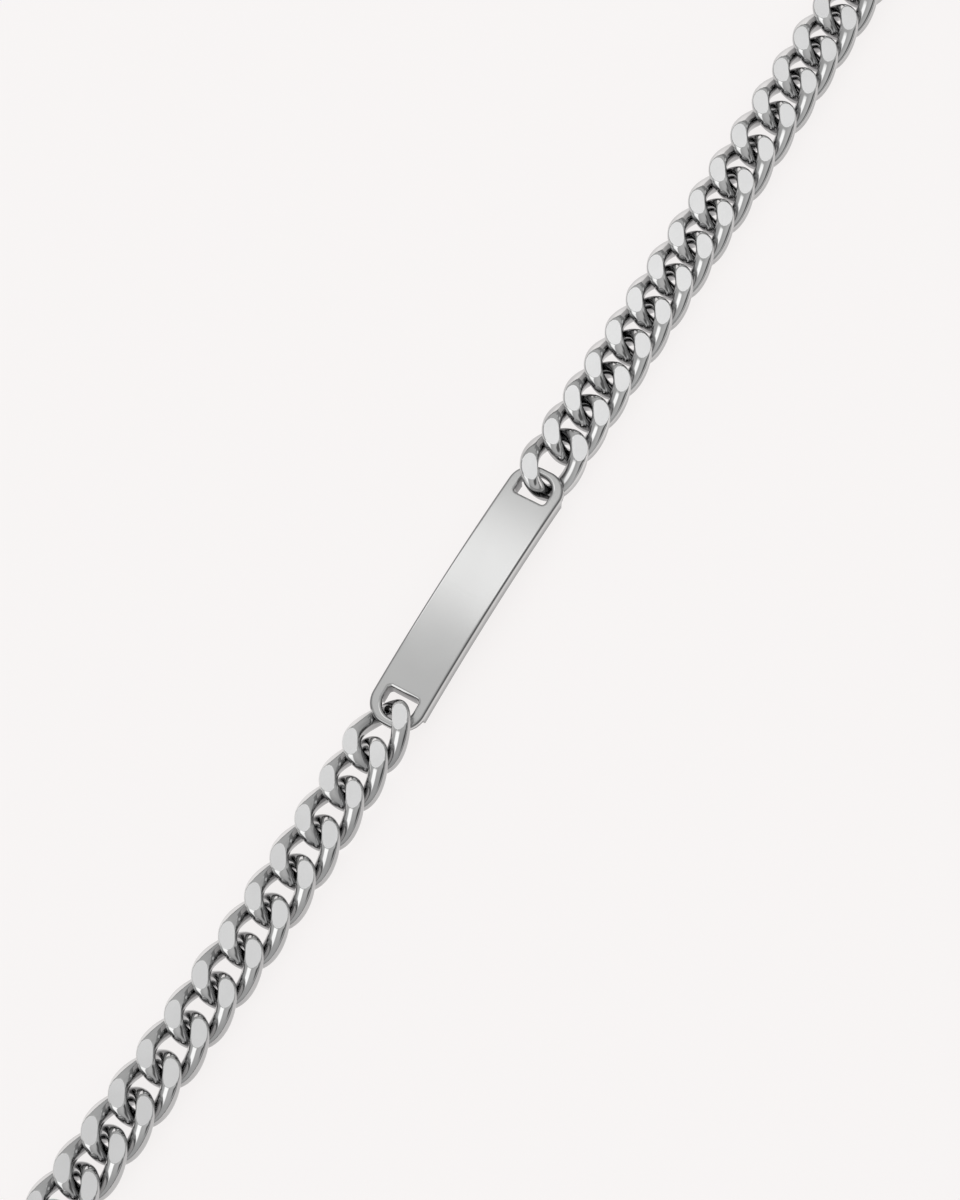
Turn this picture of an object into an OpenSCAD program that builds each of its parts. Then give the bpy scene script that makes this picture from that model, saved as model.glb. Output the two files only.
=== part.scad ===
// Identity bracelet: a curb chain in a closed loop round a small arched plate.
// It lies face up. X runs along the plate, Z is up, and the loop closes on the -Y side.

/* [Chain] */
// Width of the chain over its links
chain_w = 3.1; // [3:0.05:3.2]
// Length of a link over its ends
link_l = 3.78; // [3.76:0.01:3.8]
// Width of the wire along the sides of a link, seen from above
wire_side_w = 0.94; // [0.88:0.02:0.96]
// Width of the wire round the ends of a link, seen from above
wire_end_w = 0.7; // [0.66:0.02:0.7]
// Height of the wire's section
wire_h = 0.78; // [0.72:0.02:0.78]
// How far the twist lifts and lowers the wire from the middle of the link
twist_h = 0.56; // [0.54:0.01:0.58]
// Thickness over the ground top and bottom of the links
chain_t = 1.44; // [1.36:0.02:1.6]

/* [Plate] */
// Length of the plate
plate_l = 15; // [14.6:0.1:16]
// Width of the plate
plate_w = 2.85; // [2.7:0.05:3]
// Thickness of the plate
plate_t = 0.9; // [0.85:0.05:1.15]
// Radius of the arch that the plate is bent to
arch_r = 57; // [45:1:90]
// Radius of the plate's corners
corner_r = 1.2; // [1.1:0.05:1.3]
// Bevel along the top edges of the plate
edge_bevel = 0.14; // [0.05:0.01:0.16]

/* [End slots] */
// Width of the slot that holds the first link
slot_w = 1.76; // [1.74:0.02:1.8]
// Length of that slot
slot_l = 1.35; // [1.3:0.05:1.5]
// Width of the bar between the slot and the end
bar_w = 0.42; // [0.36:0.02:0.46]
// Thickness of the bar, which is thinned from below
bar_t = 0.28; // [0.24:0.02:0.28]

// Roll of the link next to a bar, so that its wire passes over and under the bar
end_roll_deg = 12; // [12:1:14]
// Number of links over which the roll dies away
roll_links = 4; // [4:1:6]

/* [Clasp] */
// Length of the clasp over its two end bars
clasp_l = 13; // [12.5:0.5:15]
// Length of its thick middle
clasp_body_l = 7.6; // [7:0.2:8]
// Width of its middle
clasp_w = 3.6; // [3.2:0.1:4]
// Height of its middle
clasp_h = 1.9; // [1.7:0.1:2.4]

/* [Loop] */
// Straight stretch from the middle of the plate to the right corner
straight_right = 38.5; // [37:0.5:42]
// Straight stretch from the middle of the plate toward the left
straight_left = 12; // [10:0.5:14]
// Stretch on the left that bends away a little
bend_l = 24.5; // [24:0.5:27]
// Angle that it bends away by, in degrees
bend_deg = 5; // [0:0.2:5]
// Radius of the loop's three corners, to the middle of the chain
turn_r = 10; // [10:0.5:12]
// Angle of the right corner, in degrees
right_turn_deg = 162; // [158:1:166]
// Angle of the far corner, in degrees
far_turn_deg = 55; // [50:1:60]
// Step from link to link where the chain lies out of sight
plain_step = 2.13; // [2.1:0.01:2.16]

/* [Hidden] */
$fn = 48;
link_a = (link_l - wire_end_w) / 2;     // half the length of the wire's centre line
link_b = (chain_w - wire_side_w) / 2;   // half its width
ring_n = 16;                            // cross-sections round a link
side_n = 5;                             // sides of the wire, with a corner outward
bar_play = 0.24;                        // between the bar and the first link's inner end
first_link = plate_l / 2 - bar_w + link_l / 2 - wire_end_w - bar_play;
bar_to_link = first_link - plate_l / 2; // from the outside of a bar to the first link's middle

// Steps of the links on show: [number of steps, step], counted from the plate
steps_right = [[1, 2.12], [8, 2.05], [2, 2.18], [3, 2.08]];
steps_left = [[1, 2.1], [8, 2.2], [4, 2.08]];

// Path of the chain: stretches of [length, turn in degrees], from the plate's middle
// toward +X and round the loop clockwise. Two straight lengths are solved so that it closes.
left_turn_deg = 360 + bend_deg - right_turn_deg - far_turn_deg;
function arc_l(turn) = turn_r * turn * PI / 180;
function stretches(side_a, side_b) = [
    [straight_right, 0],
    [arc_l(right_turn_deg), -right_turn_deg],
    [side_a, 0],
    [arc_l(far_turn_deg), -far_turn_deg],
    [side_b, 0],
    [arc_l(left_turn_deg), -left_turn_deg],
    [bend_l, bend_deg],
    [straight_left, 0]
];

// A pose is [x, y, heading]
function advance(pose, len, turn) =
    turn == 0
        ? [pose.x + len * cos(pose.z), pose.y + len * sin(pose.z), pose.z]
        : let (r = len / (turn * PI / 180), h = pose.z + turn)
            [pose.x + r * (sin(h) - sin(pose.z)), pose.y - r * (cos(h) - cos(pose.z)), h];
function starts(list, i = 0, pose = [0, 0, 0]) =
    i == len(list) ? [pose]
        : concat([pose], starts(list, i + 1, advance(pose, list[i][0], list[i][1])));

open_end = starts(stretches(0, 0))[8];
head_a = -right_turn_deg;
head_b = -right_turn_deg - far_turn_deg;
cross_ab = sin(head_b - head_a);
side_a = (-open_end.x * sin(head_b) + open_end.y * cos(head_b)) / cross_ab;
side_b = (open_end.x * sin(head_a) - open_end.y * cos(head_a)) / cross_ab;
path = stretches(side_a, side_b);
path_starts = starts(path);
function sum_to(list, n, i = 0) = i >= n ? 0 : list[i][0] + sum_to(list, n, i + 1);
loop_l = sum_to(path, len(path));
clasp_at = sum_to(path, 2) + side_a / 2;

function pose_at(s, i = 0) =
    i == len(path) - 1 || s <= path[i][0]
        ? advance(path_starts[i], s, path[i][1] * s / path[i][0])
        : pose_at(s - path[i][0], i + 1);

// The origin is under the middle of the whole loop
trace = [for (s = [0 : loop_l / 600 : loop_l]) pose_at(s)];
trace_x = [for (p = trace) p.x];
trace_y = [for (p = trace) p.y];
middle = [(min(trace_x) + max(trace_x)) / 2, (min(trace_y) + max(trace_y)) / 2];

// Places of the links on a run: the steps on show first, then even steps to the far end
function spread(steps) = [for (row = steps) for (k = [1 : row[0]]) row[1]];
function sums(list, i = 0, total = 0) =
    i == len(list) ? [total] : concat([total], sums(list, i + 1, total + list[i]));
function run_places(span, steps) =
    let (
        shown = sums(spread(steps)),
        rest = span - shown[len(shown) - 1],
        n = round(rest / plain_step)
    )
    concat(shown, [for (k = [1 : n]) shown[len(shown) - 1] + rest * k / n]);

// Centre line of a link, and the point at angle q round the wire there
function wire_at(t) = [link_a * cos(t), link_b * sin(t), -twist_h * sin(2 * t)];
function unit(v) = v / norm(v);
function wire_dir(t) = unit([-link_a * sin(t), link_b * cos(t), -2 * twist_h * cos(2 * t)]);
function skin_at(t, q) =
    let (
        along = wire_dir(t),
        across = unit(cross([0, 0, 1], along)),
        rise = cross(along, across),
        width = wire_end_w + (wire_side_w - wire_end_w) * pow(sin(t), 2),
        p = wire_at(t) + width / 2 * cos(q) * across + wire_h / 2 * sin(q) * rise
    )
    [p.x, p.y, max(-chain_t / 2, min(chain_t / 2, p.z))];
link_skin = [
    for (i = [0 : ring_n - 1]) for (j = [0 : side_n - 1])
        skin_at(360 * i / ring_n, 180 + 360 * j / side_n)
];
link_faces = [
    for (i = [0 : ring_n - 1]) for (j = [0 : side_n - 1])
        let (
            a = i * side_n + j,
            b = i * side_n + (j + 1) % side_n,
            c = (i + 1) % ring_n * side_n + (j + 1) % side_n,
            d = (i + 1) % ring_n * side_n + j
        )
        each [[a, c, b], [a, d, c]]
];

// Links near a bar roll about their length and slope down from the bar; k counts from it
function rolled(p, deg) = [p.x, p.y * cos(deg) - p.z * sin(deg), p.y * sin(deg) + p.z * cos(deg)];
function sloped(p, deg) = [p.x * cos(deg) + p.z * sin(deg), p.y, p.z * cos(deg) - p.x * sin(deg)];
function leaned(roll, slope) = [for (p = link_skin) sloped(rolled(p, roll), slope)];
function lift(points) = -min([for (p = points) p.z]);
function roll_at(k) = max(0, end_roll_deg * (1 - k / roll_links));
function slope_at(k) =
    let (near = max(k - 1, 0))
    atan((lift(leaned(roll_at(near), 0)) - lift(leaned(roll_at(k + 1), 0)))
        / ((k + 1 - near) * plain_step));
resting = [
    for (k = [0 : roll_links + 1])
        let (points = leaned(roll_at(k), slope_at(k)), up = lift(points))
        [for (p = points) p + [0, 0, up]]
];
bar_z = lift(leaned(roll_at(0), slope_at(0)));
function turned(p, pose) = [
    pose.x + p.x * cos(pose.z) - p.y * sin(pose.z),
    pose.y + p.x * sin(pose.z) + p.y * cos(pose.z),
    p.z
];

// All links of a run as separate closed shells; from and to are places along the path
module run(from, to, steps, from_plate) {
    span = to - from;
    places = run_places(span, steps);
    n = len(places);
    skins = [
        for (k = [0 : n - 1])
            let (
                s = from_plate ? from + places[k] : to - places[n - 1 - k],
                pose = pose_at(s),
                back = k > n / 2,
                form = resting[min(back ? n - 1 - k : k, roll_links + 1)]
            )
            for (p = form) turned(p, back ? pose + [0, 0, 180] : pose)
    ];
    faces = [
        for (k = [0 : n - 1]) for (f = link_faces)
            [for (v = f) v + k * ring_n * side_n]
    ];
    translate([-middle.x, -middle.y, 0]) polyhedron(points = skins, faces = faces, convexity = 10);
}

// Plan of a slot whose bar is on the right; its inner edge is straight
module slot_plan(end_x) {
    out_r = corner_r - bar_w;
    in_r = 0.15;
    translate([end_x - bar_w - slot_l, 0]) hull() {
        for (y = [-1, 1]) {
            translate([in_r, y * (slot_w / 2 - in_r)]) circle(in_r);
            translate([slot_l - out_r, y * (slot_w / 2 - out_r)]) circle(out_r);
        }
    }
}

module rounded_plan(l, w, r) {
    hull() for (x = [-1, 1], y = [-1, 1]) translate([x * (l / 2 - r), y * (w / 2 - r)]) circle(r);
}

// Bent strip with bevelled top edges; its top passes over the bars at their own height
module arched_strip() {
    bar_x = plate_l / 2 - bar_w / 2;
    high = arch_r + plate_t / 2;
    axis_z = bar_z + bar_t / 2 - sqrt(high * high - bar_x * bar_x);
    sweep = 2 * asin((plate_l / 2 + 1) / (arch_r - plate_t));
    low = arch_r - plate_t / 2;
    side = plate_w / 2;
    translate([0, 0, axis_z]) rotate([90, 0, 0])
        rotate_extrude(angle = sweep, start = 90 - sweep / 2, $fn = 360)
            polygon([
                [low, -side], [high - edge_bevel, -side], [high, -side + edge_bevel],
                [high, side - edge_bevel], [high - edge_bevel, side], [low, side]
            ]);
}

module plate() {
    relief_l = bar_w + slot_l / 2;
    color("silver") translate([-middle.x, -middle.y, 0]) difference() {
        intersection() {
            arched_strip();
            linear_extrude(10) rounded_plan(plate_l, plate_w, corner_r);
        }
        for (side = [0, 180]) rotate(side) {
            translate([0, 0, -1]) linear_extrude(12) slot_plan(plate_l / 2);
            translate([plate_l / 2 - relief_l, -plate_w, bar_z - bar_t / 2 - 5])
                cube([relief_l + 1, 2 * plate_w, 5]);
        }
    }
}

module clasp() {
    pose = pose_at(clasp_at);
    color("silver") translate([pose.x - middle.x, pose.y - middle.y, 0]) rotate(pose.z)
        difference() {
            union() {
                intersection() {
                    linear_extrude(clasp_h) rounded_plan(clasp_body_l, clasp_w, 0.7);
                    rotate([90, 0, 90]) translate([0, 0, -clasp_l / 2]) linear_extrude(clasp_l)
                        polygon([
                            [-clasp_w / 2, 0], [clasp_w / 2, 0],
                            [clasp_w / 2, clasp_h - 0.5], [clasp_w / 2 - 0.5, clasp_h],
                            [0.5 - clasp_w / 2, clasp_h], [-clasp_w / 2, clasp_h - 0.5]
                        ]);
                }
                translate([0, 0, bar_z - bar_t / 2]) linear_extrude(bar_t)
                    rounded_plan(clasp_l, plate_w, corner_r);
            }
            for (side = [0, 180]) rotate(side)
                translate([0, 0, -1]) linear_extrude(5) slot_plan(clasp_l / 2);
        }
}

module chain_right() {
    color("gainsboro")
        run(first_link, clasp_at - clasp_l / 2 - bar_to_link, steps_right, true);
}

module chain_left() {
    color("gainsboro")
        run(clasp_at + clasp_l / 2 + bar_to_link, loop_l - first_link, steps_left, false);
}

plate();
chain_left();
chain_right();
clasp();
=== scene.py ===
import math

import bmesh
import bpy
import numpy as np
from mathutils import Matrix, Vector
from mathutils.bvhtree import BVHTree


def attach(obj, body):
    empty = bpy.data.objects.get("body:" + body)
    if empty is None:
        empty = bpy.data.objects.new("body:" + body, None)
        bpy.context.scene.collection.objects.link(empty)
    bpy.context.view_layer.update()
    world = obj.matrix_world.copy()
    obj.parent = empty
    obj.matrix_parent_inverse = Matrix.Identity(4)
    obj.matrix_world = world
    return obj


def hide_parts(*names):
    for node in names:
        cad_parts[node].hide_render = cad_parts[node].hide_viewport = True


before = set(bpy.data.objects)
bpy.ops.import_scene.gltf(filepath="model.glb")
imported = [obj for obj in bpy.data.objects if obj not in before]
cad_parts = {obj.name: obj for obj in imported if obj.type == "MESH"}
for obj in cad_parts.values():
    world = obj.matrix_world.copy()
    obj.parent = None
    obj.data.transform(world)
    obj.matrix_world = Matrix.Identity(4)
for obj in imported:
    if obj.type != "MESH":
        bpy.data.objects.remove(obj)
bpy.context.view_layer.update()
print("frame loaded:", ", ".join(sorted(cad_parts)))

mm = 0.001  # the bracelet's tables are in millimetres, the scene and the studio's table in metres
scene = bpy.context.scene
scene.view_settings.view_transform = "Standard"


class Signal:  # a node's output that can be used in sums
    def __init__(self, shader, socket):
        self.shader, self.socket = shader, socket

    def calc(self, operation, first, second):
        return self.shader.node("ShaderNodeMath", {"operation": operation}, {0: first, 1: second})

    def __add__(self, other):
        return self.calc("ADD", self, other)

    def __radd__(self, other):
        return self.calc("ADD", other, self)

    def __sub__(self, other):
        return self.calc("SUBTRACT", self, other)

    def __rsub__(self, other):
        return self.calc("SUBTRACT", other, self)

    def __mul__(self, other):
        return self.calc("MULTIPLY", self, other)

    def __rmul__(self, other):
        return self.calc("MULTIPLY", other, self)


class Shader:  # a material or world and the one way to add nodes to it
    def __init__(self, owner):
        owner.use_nodes = True
        self.owner, self.tree = owner, owner.node_tree
        self.tree.nodes.clear()

    def node(self, kind, settings=None, inputs=None, output=0):
        made = self.tree.nodes.new(kind)
        for key, value in (settings or {}).items():
            setattr(made, key, value)
        for key, value in (inputs or {}).items():
            if isinstance(value, Signal):
                self.tree.links.new(value.socket, made.inputs[key])
            else:
                made.inputs[key].default_value = value
        return Signal(self, made.outputs[output]) if made.outputs else None

    def mixColour(self, factor, first, second):
        return self.node("ShaderNodeMix", {"data_type": "RGBA"},
                         {"Factor": factor, 6: first, 7: second}, 2)

    def scaled(self, vector, factors):
        return self.node("ShaderNodeVectorMath", {"operation": "MULTIPLY"}, {0: vector, 1: factors})

    def noise(self, vector, scale, detail, roughness=0.5):
        return self.node("ShaderNodeTexNoise", None, {
            "Vector": vector, "Scale": scale, "Detail": detail, "Roughness": roughness})

    def smooth(self, value, low, high, atLow=0.0, atHigh=1.0):
        return self.node("ShaderNodeMapRange", {"interpolation_type": "SMOOTHSTEP"},
                         {0: value, 1: low, 2: high, 3: atLow, 4: atHigh})


grain = {  # what the noise of every steel shares
    "lineDetail": 3.0,
    "lineRoughness": 0.6,
    "cloudDetail": 2.0,
    "cloudRange": (0.3, 0.7),
}


def steelMaterial(name, look):
    # fine lines and soft clouds in the steel, and painted shade: a darker colour where the painted shade
    # attribute is low
    shader = Shader(bpy.data.materials.new(name))
    place = shader.node("ShaderNodeAttribute", {"attribute_name": "grainPos"}, output=1)
    streaks = shader.scaled(place, look["lineScale"])
    lines = shader.noise(streaks, 1.0, grain["lineDetail"], grain["lineRoughness"])
    cloud = shader.noise(place, look["cloudScale"], grain["cloudDetail"])
    shade = shader.smooth(cloud, *grain["cloudRange"])
    colour = shader.mixColour(shade, (*look["dark"], 1), (*look["light"], 1))
    # painted shade, mixed in by the attribute that holds it
    grainAndPaintedShade = shader.node("ShaderNodeAttribute", {"attribute_name": "grainAndPaintedShade"}, output=2)
    colour = shader.mixColour(grainAndPaintedShade, (*look["paintedShadeColour"], 1), colour)
    rough = look["rough"] + (lines - 0.5) * look["roughLines"] + (cloud - 0.5) * look["roughCloud"]
    bump = shader.node("ShaderNodeBump", None, {
        "Strength": look["bump"], "Distance": look["bumpDepth"] * mm, "Height": lines})
    steel = shader.node("ShaderNodeBsdfPrincipled", None, {
        "Base Color": colour, "Metallic": 1.0, "Roughness": rough, "Normal": bump})
    shader.node("ShaderNodeOutputMaterial", None, {"Surface": steel})
    return shader.owner


def seams(bm):
    # the edges where two finishes meet
    return [edge for edge in bm.edges if len({face.material_index for face in edge.link_faces}) == 2]


def finishPiece(name, node, bm, materials):
    bmesh.ops.scale(bm, vec=(mm, mm, mm), verts=bm.verts[:])
    for edge in seams(bm):
        edge.smooth = False
    mesh = bpy.data.meshes.new(name)
    bm.to_mesh(mesh)
    bm.free()
    for material in materials:
        mesh.materials.append(material)
    piece = bpy.data.objects.new(name, mesh)
    scene.collection.objects.link(piece)
    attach(piece, "root")
    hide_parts(node)


# the loop that the chain follows, from the plate's middle and clockwise, as in the part's source
loop = {
    "straightRight": 38.5,
    "straightLeft": 12,
    "bendLength": 24.5,
    "bendDeg": 5,
    "turnRadius": 10,
    "rightTurnDeg": 162,
    "farTurnDeg": 55,
    "plainStep": 2.13,  # about the step from link to link where the chain lies out of sight
    "stepsRight": [(1, 2.12), (8, 2.05), (2, 2.18), (3, 2.08)],  # count and step, from the plate on
    "stepsLeft": [(1, 2.1), (8, 2.2), (4, 2.08)],
    "firstLink": 8.03,  # from the plate's middle to its first link's middle
    "barToLink": 0.53,  # from the outside of a bar to its link's middle
    "claspLength": 13,
    "endRollDeg": 12,  # the roll of a link beside a bar, which dies away over the next ones
    "rollLinks": 4,
    "tracePoints": 600,
}


def advance(pose, length, turnDeg):
    # the place and heading after a straight or a turn
    x, y, heading = pose
    if turnDeg == 0:
        return (x + length * math.cos(heading), y + length * math.sin(heading), heading)
    turn = math.radians(turnDeg)
    radius = length / turn
    after = heading + turn
    return (x + radius * (math.sin(after) - math.sin(heading)),
            y - radius * (math.cos(after) - math.cos(heading)), after)


def stretches(sideA, sideB):
    leftTurn = 360 + loop["bendDeg"] - loop["rightTurnDeg"] - loop["farTurnDeg"]
    arc = loop["turnRadius"] * math.pi / 180
    return [
        (loop["straightRight"], 0),
        (arc * loop["rightTurnDeg"], -loop["rightTurnDeg"]),
        (sideA, 0),
        (arc * loop["farTurnDeg"], -loop["farTurnDeg"]),
        (sideB, 0),
        (arc * leftTurn, -leftTurn),
        (loop["bendLength"], loop["bendDeg"]),
        (loop["straightLeft"], 0),
    ]


def endOf(path):
    pose = (0.0, 0.0, 0.0)
    for length, turn in path:
        pose = advance(pose, length, turn)
    return pose


def solvePath():
    # the two side lengths that close the loop
    openX, openY, _ = endOf(stretches(0, 0))
    headA = -math.radians(loop["rightTurnDeg"])
    headB = headA - math.radians(loop["farTurnDeg"])
    cross = math.sin(headB - headA)
    sideA = (-openX * math.sin(headB) + openY * math.cos(headB)) / cross
    sideB = (openX * math.sin(headA) - openY * math.cos(headA)) / cross
    return stretches(sideA, sideB), sideA


path, sideA = solvePath()
loopLength = sum(length for length, _ in path)
claspAt = path[0][0] + path[1][0] + sideA / 2


def poseAt(distance):
    # the place and heading at a distance along the loop
    pose = (0.0, 0.0, 0.0)
    for length, turn in path:
        if distance <= length:
            return advance(pose, distance, turn * distance / length)
        pose = advance(pose, length, turn)
        distance -= length
    return pose


trace = np.array([poseAt(s)[:2] for s in np.arange(0, loopLength, loopLength / loop["tracePoints"])])
middle = (trace.min(0) + trace.max(0)) / 2  # of the loop's box, which is the frame's origin


def placeAt(x, y, heading):
    return Matrix.Translation((x - middle[0], y - middle[1], 0)) @ Matrix.Rotation(heading, 4, "Z")


def runPlaces(span, steps):
    # the measured steps first, then even ones over what is left
    places = [0.0]
    for count, step in steps:
        for _ in range(count):
            places.append(places[-1] + step)
    last = places[-1]
    rest = span - last
    count = round(rest / loop["plainStep"])
    return places + [last + rest * (k + 1) / count for k in range(count)]


# one link: a closed ring of wire, twisted once and ground flat above and below
link = {
    "width": 3.1,
    "length": 3.95,
    "wireSide": 0.93,  # the wire is pressed wider along the sides
    "wireEnd": 0.86,
    "wireHigh": 0.80,
    "twist": 0.52,
    "around": 64,
    "sides": 20,
    "thickness": 1.44,
    "rim": 0.035,  # width of the soft edge round each flat
    "grainSeed": 7,
    "grainSpread": 50,
    "weld": 1e-6,
}
sourceLink = {  # the coarser link of the part's source, which has room all round
    "width": 3.1,
    "length": 3.78,
    "wireSide": 0.94,
    "wireEnd": 0.70,
    "wireHigh": 0.78,
    "twist": 0.56,
    "around": 16,
    "sides": 5,
}


def linkSkin(size):
    # rings of points round the wire, before the flats are ground
    halfLong = (size["length"] - size["wireEnd"]) / 2
    halfWide = (size["width"] - size["wireSide"]) / 2
    turn = np.arange(size["around"]) * 2 * np.pi / size["around"]
    sine, cosine = np.sin(turn), np.cos(turn)
    centre = np.c_[halfLong * cosine, halfWide * sine, -size["twist"] * np.sin(2 * turn)]
    along = np.c_[-halfLong * sine, halfWide * cosine, -2 * size["twist"] * np.cos(2 * turn)]
    along /= np.linalg.norm(along, axis=1)[:, None]
    across = np.cross([0, 0, 1], along)
    across /= np.linalg.norm(across, axis=1)[:, None]
    rise = np.cross(along, across)
    spin = np.pi + np.arange(size["sides"]) * 2 * np.pi / size["sides"]
    wide = (size["wireEnd"] + (size["wireSide"] - size["wireEnd"]) * sine ** 2)[:, None, None] / 2
    ring = wide * np.cos(spin)[None, :, None] * across[:, None]
    ring = ring + size["wireHigh"] / 2 * np.sin(spin)[None, :, None] * rise[:, None]
    return centre[:, None] + ring


def leanOf(rollDeg, slopeDeg):
    return Matrix.Rotation(math.radians(slopeDeg), 4, "Y") @ Matrix.Rotation(math.radians(rollDeg), 4, "X")


def liftOf(rollDeg, slopeDeg):
    # how high a leaning link lies; the source's link sets it, so that both lie alike
    skin = linkSkin(sourceLink).reshape(-1, 3)
    skin[:, 2] = skin[:, 2].clip(-link["thickness"] / 2, link["thickness"] / 2)
    turn = np.array(leanOf(rollDeg, slopeDeg).to_3x3())
    return -(skin @ turn.T)[:, 2].min()


def rollAt(k):
    return max(0, loop["endRollDeg"] * (1 - k / loop["rollLinks"]))


def slopeAt(k):
    # follows the heights of the links on either side
    near = max(k - 1, 0)
    drop = liftOf(rollAt(near), 0) - liftOf(rollAt(k + 1), 0)
    return math.degrees(math.atan(drop / ((k + 1 - near) * loop["plainStep"])))


def restAt(k):
    # the lean and the height of a link that is k links from a bar
    lean = leanOf(rollAt(k), slopeAt(k))
    return Matrix.Translation((0, 0, liftOf(rollAt(k), slopeAt(k)))) @ lean


restings = [restAt(k) for k in range(loop["rollLinks"] + 2)]
barZ = restings[0].translation.z

# painted shade on the wire, dark where a link is shut in and on its sides, which mirror the shaded surface
shadow = {
    "rays": 96,
    "neighbours": 2,  # on each side
    "step": 2.12,  # from link to link
    "start": 0.01,
    "reach": 6,
    "highFrom": 0.3,  # a ray that rises more than this counts in full
    "low": 0.35,  # and a lower one this much
    "power": 0.5,
    "side": 0.5,
    "sideFrom": 0.74,
    "sideTo": 0.55,
    "sideAxis": (0, -0.15, 0.99),
}


def paintedSideShade(normal):
    # painted reflection: faces turned to the side are darkened for the shaded surface
    rise = normal.dot(Vector(shadow["sideAxis"]))
    share = min(max((shadow["sideFrom"] - rise) / (shadow["sideFrom"] - shadow["sideTo"]), 0), 1)
    return 1 - shadow["side"] * share * share * (3 - 2 * share)


def linkRow(bm):
    # the link and its neighbours, for the rays to meet
    points = np.array([v.co for v in bm.verts])
    polys = [[v.index for v in face.verts] for face in bm.faces]
    beside = shadow["neighbours"]
    joined, faces = [], []
    for k in range(-beside, beside + 1):
        joined += [Vector(p) + Vector((k * shadow["step"], 0, 0)) for p in points]
        faces += [[i + (k + beside) * len(points) for i in poly] for poly in polys]
    return BVHTree.FromPolygons(joined, faces)


def skyRays(n):
    k = np.arange(n) + 0.5
    height = np.sqrt(1 - k / n)  # more rays along the normal
    spin = k * math.pi * (3 - math.sqrt(5))
    side = np.sqrt(1 - height ** 2)
    return [Vector((a * math.cos(b), a * math.sin(b), c)) for a, b, c in zip(side, spin, height)]


# painted shade for every point of the wire, from the rays that get past its neighbours
def paintWireShade(bm):
    bm.normal_update()
    bm.verts.index_update()
    row = linkRow(bm)
    rays = skyRays(shadow["rays"])
    paintedWireShades = []
    for v in bm.verts:
        turn = v.normal.to_track_quat("Z", "Y")
        seen = 0.0
        for ray in rays:
            way = turn @ ray
            if row.ray_cast(v.co + v.normal * shadow["start"], way, shadow["reach"])[0] is None:
                seen += 1.0 if way.z > shadow["highFrom"] else shadow["low"]
        paintedWireShades.append((seen / len(rays)) ** shadow["power"] * paintedSideShade(v.normal))
    return paintedWireShades


def addWire(bm):
    skin = linkSkin(link)
    around, sides = skin.shape[:2]
    verts = [bm.verts.new(point) for point in skin.reshape(-1, 3)]
    for i in range(around):
        for j in range(sides):
            i2, j2 = (i + 1) % around, (j + 1) % sides
            bm.faces.new([verts[i * sides + j], verts[i2 * sides + j],
                          verts[i2 * sides + j2], verts[i * sides + j2]]).smooth = True


def grindFlat(bm, side):
    cut = bmesh.ops.bisect_plane(
        bm, geom=bm.verts[:] + bm.edges[:] + bm.faces[:], dist=link["weld"],
        plane_co=(0, 0, side * link["thickness"] / 2), plane_no=(0, 0, side), clear_outer=True)
    rim = [g for g in cut["geom_cut"] if isinstance(g, bmesh.types.BMEdge)]
    for face in bmesh.ops.holes_fill(bm, edges=rim, sides=0)["faces"]:
        face.material_index = 1
        face.smooth = False


def makeLinkMesh():
    bm = bmesh.new()
    addWire(bm)
    for side in (1, -1):
        grindFlat(bm, side)
    bmesh.ops.recalc_face_normals(bm, faces=bm.faces[:])
    softened = bmesh.ops.bevel(bm, geom=seams(bm), offset=link["rim"], segments=1, affect="EDGES",
                               profile=0.5, material=0, clamp_overlap=True)
    for face in softened["faces"]:
        face.smooth = True
    grainPos = bm.verts.layers.float_vector.new("grainPos")
    grainAndPaintedShade = bm.verts.layers.float.new("grainAndPaintedShade")
    # painted shade for the wire; the flats get none
    paintedWireShades = paintWireShade(bm)
    for v in bm.verts:
        v[grainPos] = v.co
        v[grainAndPaintedShade] = 1 if any(face.material_index for face in v.link_faces) else paintedWireShades[v.index]
    mesh = bpy.data.meshes.new("oneLink")
    bm.to_mesh(mesh)
    bm.free()
    return mesh


linkMesh = makeLinkMesh()
print("link:", len(linkMesh.polygons), "faces, bar height", round(barZ, 3))


def linkPlaces(start, end, steps, fromPlate):
    places = runPlaces(end - start, steps)
    count = len(places)
    found = []
    for k in range(count):
        x, y, heading = poseAt(start + places[k] if fromPlate else end - places[count - 1 - k])
        back = k > count / 2  # the second half is turned round, so that it leans toward its own bar
        rest = restings[min(count - 1 - k if back else k, loop["rollLinks"] + 1)]
        found.append(placeAt(x, y, heading + (math.pi if back else 0)) @ rest)
    return found


def makeChain(name, node, places, materials):
    bm = bmesh.new()
    shift = np.random.default_rng(link["grainSeed"])  # each link's own place in the grain
    spread = link["grainSpread"]
    for place in places:
        first = len(bm.verts)
        bm.from_mesh(linkMesh)
        bm.verts.ensure_lookup_table()
        fresh = bm.verts[first:]
        grainPos = bm.verts.layers.float_vector["grainPos"]
        offset = Vector(shift.uniform(-spread, spread, 3))
        for v in fresh:
            v[grainPos] = (v[grainPos] + offset) * mm
        bmesh.ops.transform(bm, matrix=place, verts=fresh)
    finishPiece(name, node, bm, materials)


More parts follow.
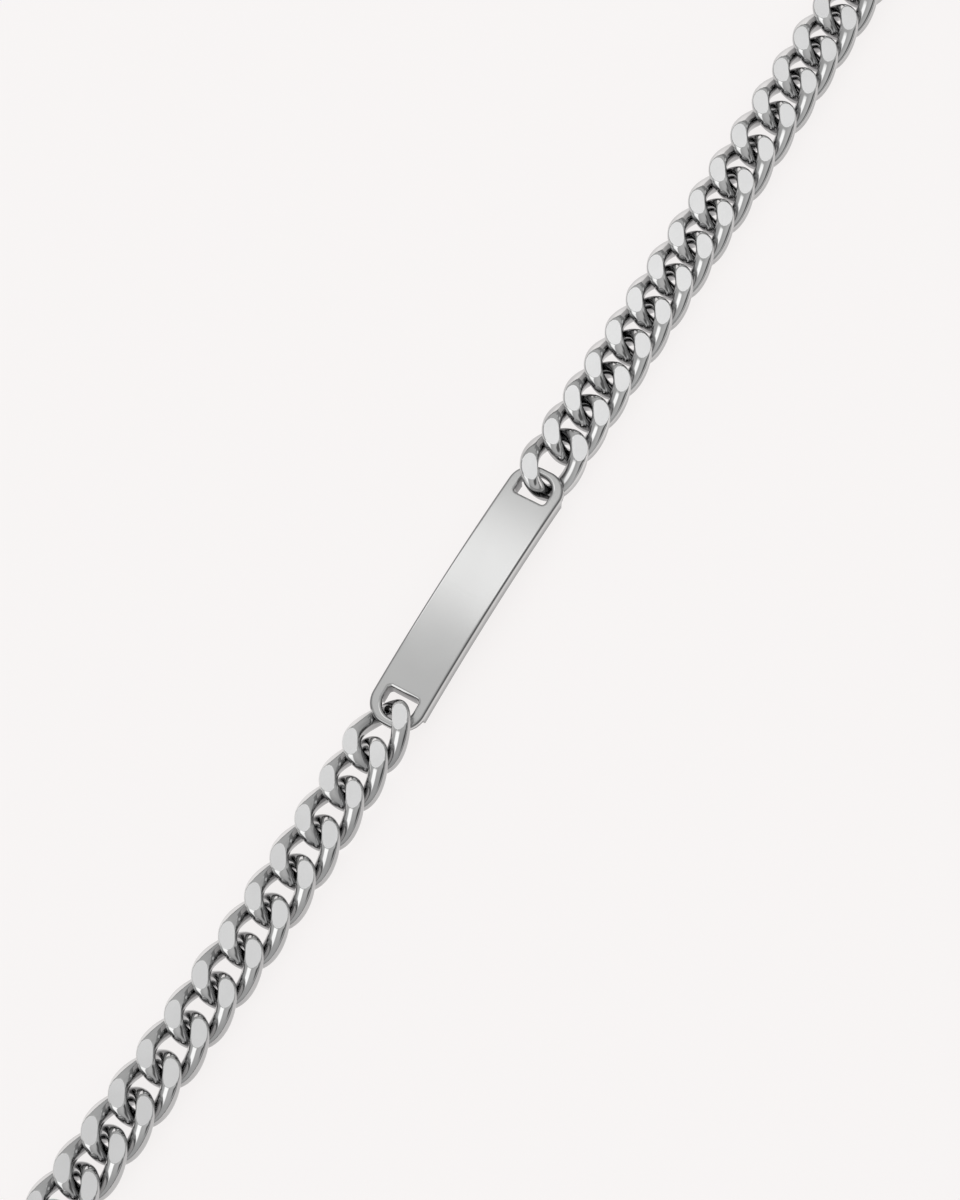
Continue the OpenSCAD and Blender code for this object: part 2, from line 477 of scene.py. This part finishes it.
# the shut colour of each look is its painted shade
wireLook = {
    "light": (0.85, 0.85, 0.845), "dark": (0.79, 0.79, 0.785), "cloudScale": 900.0,
    "lineScale": (2500, 9000, 9000), "rough": 0.07, "roughLines": 0.04, "roughCloud": 0.03,
    "bump": 0.10, "bumpDepth": 0.003, "paintedShadeColour": (0.30, 0.30, 0.305),
}
flatLook = {
    "light": (0.96, 0.96, 0.96), "dark": (0.92, 0.92, 0.92), "cloudScale": 700.0,
    "lineScale": (1500, 40000, 3000), "rough": 0.34, "roughLines": 0.10, "roughCloud": 0.05,
    "bump": 0.20, "bumpDepth": 0.003, "paintedShadeColour": (0.04, 0.04, 0.045),
}
chainSteel = [steelMaterial("polishedWire", wireLook), steelMaterial("groundFlats", flatLook)]
claspHalf = loop["claspLength"] / 2 + loop["barToLink"]
rightLinks = linkPlaces(loop["firstLink"], claspAt - claspHalf, loop["stepsRight"], True)
leftLinks = linkPlaces(claspAt + claspHalf, loopLength - loop["firstLink"], loop["stepsLeft"], False)
makeChain("chainRight", "chain_right", rightLinks, chainSteel)
makeChain("chainLeft", "chain_left", leftLinks, chainSteel)
print("chains made:", len(rightLinks), "and", len(leftLinks), "links")

# what the plate and the clasp share: a strip with rounded corners and a slot through each end
strip = {
    "corner": 1.2,
    "cornerSteps": 14,
    "slotWidth": 1.68,
    "slotLength": 1.35,
    "slotCorner": 0.18,
    "bar": 0.42,
    "barThick": 0.28,
    "edgeSteps": 6,
    "weld": 1e-5,
}


def roundedLoop(length, width, radii):
    # points of a rounded rectangle with their outward directions, counterclockwise
    # from the upper right corner, and the radii in the same order
    points = []
    steps = strip["cornerSteps"]
    for k, (sx, sy) in enumerate(((1, 1), (-1, 1), (-1, -1), (1, -1))):
        r = radii[k]
        for i in range(steps + 1):
            angle = math.radians(90 * k + 90 * i / steps)
            nx, ny = math.cos(angle), math.sin(angle)
            points.append((sx * (length / 2 - r) + r * nx, sy * (width / 2 - r) + r * ny, nx, ny))
    return points


def slotLoop(endX, side):
    outer = strip["corner"] - strip["bar"]
    inner = strip["slotCorner"]
    centre = endX - strip["bar"] - strip["slotLength"] / 2
    points = roundedLoop(strip["slotLength"], strip["slotWidth"], (outer, inner, inner, outer))
    points = [(side * (x + centre), side * y, -side * nx, -side * ny) for x, y, nx, ny in points]
    return points[::-1]


def addWall(bm, outline, levels):
    # rings of the outline, each level moved inward by its inset at its own height
    rings = []
    for inset, height in levels:
        rings.append([bm.verts.new((x - nx * inset, y - ny * inset, height)) for x, y, nx, ny in outline])
    count = len(outline)
    for low, high in zip(rings, rings[1:]):
        for k in range(count):
            k2 = (k + 1) % count
            bm.faces.new([low[k], low[k2], high[k2], high[k]]).smooth = True
    return rings


def edgeLevels(thick, edge):
    # from the underside up: small round, straight wall, small round
    levels = []
    for k in range(strip["edgeSteps"] + 1):
        angle = math.radians(90 * k / strip["edgeSteps"])
        levels.append((edge * (1 - math.sin(angle)), -thick / 2 + edge * (1 - math.cos(angle))))
    return levels + [(inset, -height) for inset, height in reversed(levels)]


def ringEdges(bm, ring):
    return [bm.edges.get((ring[k], ring[(k + 1) % len(ring)])) for k in range(len(ring))]


def slottedStrip(length, width, thick, edge):
    bm = bmesh.new()
    levels = edgeLevels(thick, edge)
    walls = [addWall(bm, roundedLoop(length, width, [strip["corner"]] * 4), levels)]
    for side in (1, -1):
        walls.append(addWall(bm, slotLoop(length / 2, side), levels))
    for level, finish in ((0, 0), (-1, 1)):
        rim = [part for wall in walls for part in ringEdges(bm, wall[level])]
        made = bmesh.ops.triangle_fill(bm, use_beauty=True, use_dissolve=False, edges=rim)
        for face in made["geom"]:
            if isinstance(face, bmesh.types.BMFace):
                face.smooth = True
                face.material_index = finish
    bmesh.ops.recalc_face_normals(bm, faces=bm.faces[:])
    return bm


def cutAcross(bm, length, step):
    # cuts across the strip, so that it can bend
    for k in range(1, int(length / step)):
        x = -length / 2 + k * step
        bmesh.ops.bisect_plane(bm, geom=bm.verts[:] + bm.edges[:] + bm.faces[:], dist=strip["weld"],
                               plane_co=(x, 0, 0), plane_no=(1, 0, 0))


plate = {
    "length": 15.0,
    "width": 2.85,
    "thick": 0.9,
    "edge": 0.15,
    "archRadius": 57,
    "cutStep": 0.29,
    "lineFrom": 0.1,  # where the painted dark line, a painted reflection, runs on the rounded edge, in parts of its height
    "lineTo": 0.7,
    "paintedDarkLine": 0.36,
    "wallTop": 0.9,  # the wall's painted shade below the line and at its foot
    "wallFoot": 0.2,
    "paintedSlotShade": 0.2,
}


def paintedWallShade(x, y, z):
    # painted shade: the walls darken toward the surface below, and inside the slots
    top, edge = plate["thick"] / 2, plate["edge"]
    down = (top - z) / edge
    if down < plate["lineFrom"]:
        return 1
    if abs(x) < plate["length"] / 2 - strip["bar"] + edge and abs(y) < strip["slotWidth"] / 2 + edge:
        return 1 if down < plate["lineTo"] else plate["paintedSlotShade"]
    if down < plate["lineTo"]:
        return plate["paintedDarkLine"]
    share = min(max((z + top - edge) / (2 * (top - edge)), 0), 1)
    return plate["wallFoot"] + (plate["wallTop"] - plate["wallFoot"]) * share


def makePlate(materials):
    bm = slottedStrip(plate["length"], plate["width"], plate["thick"], plate["edge"])
    cutAcross(bm, plate["length"], plate["cutStep"])
    grainPos = bm.verts.layers.float_vector.new("grainPos")
    grainAndPaintedShade = bm.verts.layers.float.new("grainAndPaintedShade")
    high = plate["archRadius"] + plate["thick"] / 2
    barX = plate["length"] / 2 - strip["bar"] / 2
    topAtBar = barZ + strip["barThick"] / 2
    footAtBar = barZ - strip["barThick"] / 2
    thinned = strip["bar"] + strip["slotLength"] / 2  # the ends are thinned from below
    for v in bm.verts:
        x, y, z = v.co
        v[grainPos] = v.co * mm
        # painted shade on the walls and the painted dark line on the rounded edge
        v[grainAndPaintedShade] = paintedWallShade(x, y, z)
        arch = math.sqrt(high * high - x * x) - math.sqrt(high * high - barX * barX)
        z = topAtBar + arch + (z - plate["thick"] / 2)
        if abs(x) > plate["length"] / 2 - thinned:
            z = max(z, footAtBar)
        v.co = (x - middle[0], y - middle[1], z)
    finishPiece("namePlate", "plate", bm, materials)


# the shut colour of each look is its painted shade
satinLook = {
    "light": (0.77, 0.77, 0.765), "dark": (0.74, 0.74, 0.735), "cloudScale": 350.0,
    "lineScale": (600, 26000, 3000), "rough": 0.22, "roughLines": 0.04, "roughCloud": 0.03,
    "bump": 0.08, "bumpDepth": 0.002, "paintedShadeColour": (0.04, 0.04, 0.045),
}
edgeLook = {
    "light": (0.74, 0.74, 0.735), "dark": (0.68, 0.68, 0.675), "cloudScale": 700.0,
    "lineScale": (2500, 9000, 9000), "rough": 0.14, "roughLines": 0.05, "roughCloud": 0.04,
    "bump": 0.10, "bumpDepth": 0.003, "paintedShadeColour": (0.04, 0.04, 0.045),
}
satinSteel = steelMaterial("satinFace", satinLook)
edgeSteel = steelMaterial("polishedEdge", edgeLook)
makePlate([edgeSteel, satinSteel])
print("plate made")

clasp = {
    "tabWidth": 2.85,
    "tabEdge": 0.08,
    "bodyLength": 7.6,
    "bodyWidth": 3.6,
    "bodyCorner": 0.7,
    "bodyProfile": [  # inset and height, from the foot up
        (0.1, 0.0),
        (0.03, 0.03),
        (0.0, 0.1),
        (0.0, 1.34),
        (0.03, 1.42),
        (0.46, 1.84),
        (0.55, 1.9),
    ],
    "paintedWallShade": 0.3,  # painted shade on the walls, for the shaded surface below that they mirror
    "wallTo": 0.2,  # faces that rise less than this have the wall's painted shade
    "topFrom": 0.9,
}


def makeClasp(materials):
    bm = slottedStrip(loop["claspLength"], clasp["tabWidth"], strip["barThick"], clasp["tabEdge"])
    bmesh.ops.translate(bm, vec=(0, 0, barZ), verts=bm.verts[:])
    outline = roundedLoop(clasp["bodyLength"], clasp["bodyWidth"], [clasp["bodyCorner"]] * 4)
    rings = addWall(bm, outline, clasp["bodyProfile"])
    for ring, finish in ((rings[0][::-1], 0), (rings[-1], 1)):
        face = bm.faces.new(ring)
        face.smooth = False
        face.material_index = finish
    bmesh.ops.recalc_face_normals(bm, faces=bm.faces[:])
    grainPos = bm.verts.layers.float_vector.new("grainPos")
    grainAndPaintedShade = bm.verts.layers.float.new("grainAndPaintedShade")
    bm.normal_update()
    for v in bm.verts:
        v[grainPos] = v.co * mm
        # painted shade: the walls darker, the top in its own colour
        share = min(max((v.normal.z - clasp["wallTo"]) / (clasp["topFrom"] - clasp["wallTo"]), 0), 1)
        v[grainAndPaintedShade] = clasp["paintedWallShade"] + (1 - clasp["paintedWallShade"]) * share
    bmesh.ops.transform(bm, matrix=placeAt(*poseAt(claspAt)), verts=bm.verts[:])
    finishPiece("plainClasp", "clasp", bm, materials)


makeClasp([edgeSteel, satinSteel])
print("clasp made")

# floor, light and camera; a range holds the two ends of a soft change in the light
studio = {
    "floorSize": 0.9,
    "floorDrop": 0.00003,
    "floorColour": (0.16, 0.16, 0.16),
    "floorShade": 0.995,
    "floorGrain": (60.0, 3.0),  # the noise's scale and detail
    "floorRough": 0.9,
    "floorShine": 0.1,
    "floorTint": (1.0, 0.973, 0.967),
    "floorGlow": 0.84,
    "sky": 0.44,
    "horizon": 0.12,
    "skyRange": (0.0, 0.10),
    "front": 1.2,
    "frontRange": (-0.7, -0.1),
    "panel": 0.8,  # how dark the panel low in front is, which the steel mirrors as thin dark lines
    "panelFoot": (0.20, 0.28),
    "panelTop": (0.56, 0.46),
    "panelRange": (-0.74, -0.84),
    "left": 0.8,
    "leftRange": (-0.42, -0.60),
    "leftNear": (-0.12, 0.05),
    "leftFar": (0.65, 0.45),
    "glow": 0.16,  # a soft brighter patch of sky that lights the plate's middle
    "glowWay": (0.31, 0.28, 0.91),
    "glowRange": (0.79, 0.985),
    "softboxPower": 0.15,
    "softboxSize": (0.11, 0.75),
    "softboxAngles": (20.5, 18),
    "softboxAway": 0.5,
}


def makeFloor():
    size = studio["floorSize"]
    mesh = bpy.data.meshes.new("floor")
    corners = [(-size, -size, 0), (size, -size, 0), (size, size, 0), (-size, size, 0)]
    mesh.from_pydata(corners, [], [(0, 1, 2, 3)])
    floor = bpy.data.objects.new("floor", mesh)
    floor.location.z = -studio["floorDrop"]
    scene.collection.objects.link(floor)
    shader = Shader(bpy.data.materials.new("paleFloor"))
    place = shader.node("ShaderNodeTexCoord", output=3)
    grainAndPaintedShade = shader.noise(place, *studio["floorGrain"])
    light = studio["floorColour"]
    dark = [channel * studio["floorShade"] for channel in light]
    paint = shader.node("ShaderNodeBsdfPrincipled", None, {
        "Base Color": shader.mixColour(grainAndPaintedShade, (*light, 1), (*dark, 1)),
        "Roughness": studio["floorRough"], "Specular IOR Level": studio["floorShine"],
        "Emission Color": (*studio["floorTint"], 1), "Emission Strength": studio["floorGlow"]})
    shader.node("ShaderNodeOutputMaterial", None, {"Surface": paint})
    mesh.materials.append(shader.owner)


def makeWorld():
    world = bpy.data.worlds.new("studio")
    scene.world = world
    shader = Shader(world)
    smooth = shader.smooth
    way = shader.node("ShaderNodeTexCoord", output=0)
    across, along, height = (shader.node("ShaderNodeSeparateXYZ", None, {0: way}, k) for k in range(3))
    near = shader.node("ShaderNodeVectorMath", {"operation": "DOT_PRODUCT"},
                       {0: way, 1: studio["glowWay"]}, 1)
    light = smooth(height, *studio["skyRange"], studio["horizon"], studio["sky"])
    light = light * smooth(along, *studio["frontRange"], studio["front"], 1.0)
    panel = smooth(height, *studio["panelFoot"]) * smooth(height, *studio["panelTop"])
    panel = panel * smooth(along, *studio["panelRange"])
    light = light * (1 - panel * studio["panel"])
    band = smooth(along, *studio["leftNear"]) * smooth(along, *studio["leftFar"])
    light = light + smooth(across, *studio["leftRange"], 0.0, studio["left"]) * band
    light = light + smooth(near, *studio["glowRange"], 0.0, studio["glow"])
    sky = shader.node("ShaderNodeBackground", None, {"Color": (1, 1, 1, 1), "Strength": light})
    shader.node("ShaderNodeOutputWorld", None, {"Surface": sky})


def makeSoftbox():
    data = bpy.data.lights.new("softbox", "AREA")
    data.shape = "RECTANGLE"
    data.size, data.size_y = studio["softboxSize"]
    data.energy = studio["softboxPower"]
    box = bpy.data.objects.new("softbox", data)
    slantX, slantY = (math.tan(math.radians(angle)) for angle in studio["softboxAngles"])
    way = Vector((slantX, slantY, 1)).normalized()
    plateAt = Vector((-middle[0], -middle[1], 0)) * mm
    long = Vector((0, 1, 0))  # the box is long across the plate
    long = (long - way * long.dot(way)).normalized()
    turn = Matrix((long.cross(way), long, way)).transposed().to_4x4()
    box.matrix_world = Matrix.Translation(plateAt + way * studio["softboxAway"]) @ turn
    scene.collection.objects.link(box)


camera = {
    "fromPlate": (-45.17, -48.82, 152.49),
    "aimFromPlate": (0.20, -0.54, 0.72),
    "lens": 69.28,
    "sensorHeight": 24,
    "clip": (0.005, 10),  # in metres, the places above in millimetres
    "chainDeg": 57.64,  # how steeply the plate rises in the picture
}


def makeCamera():
    data = bpy.data.cameras.new("camera")
    data.sensor_fit = "VERTICAL"
    data.sensor_height = camera["sensorHeight"]
    data.lens = camera["lens"]
    data.clip_start, data.clip_end = camera["clip"]
    plateAt = Vector((-middle[0], -middle[1], 0))
    spot = (plateAt + Vector(camera["fromPlate"])) * mm
    aim = (plateAt + Vector(camera["aimFromPlate"])) * mm
    back = (spot - aim).normalized()
    chain = Vector((1, 0, 0))
    chain = (chain - back * chain.dot(back)).normalized()
    turn = math.radians(camera["chainDeg"])
    right = chain * math.cos(turn) - back.cross(chain) * math.sin(turn)
    up = back.cross(right)
    eye = bpy.data.objects.new("camera", data)
    eye.matrix_world = Matrix.Translation(spot) @ Matrix((right, up, back)).transposed().to_4x4()
    scene.collection.objects.link(eye)
    scene.camera = eye


makeFloor()
makeWorld()
makeSoftbox()
makeCamera()
print("studio ready")
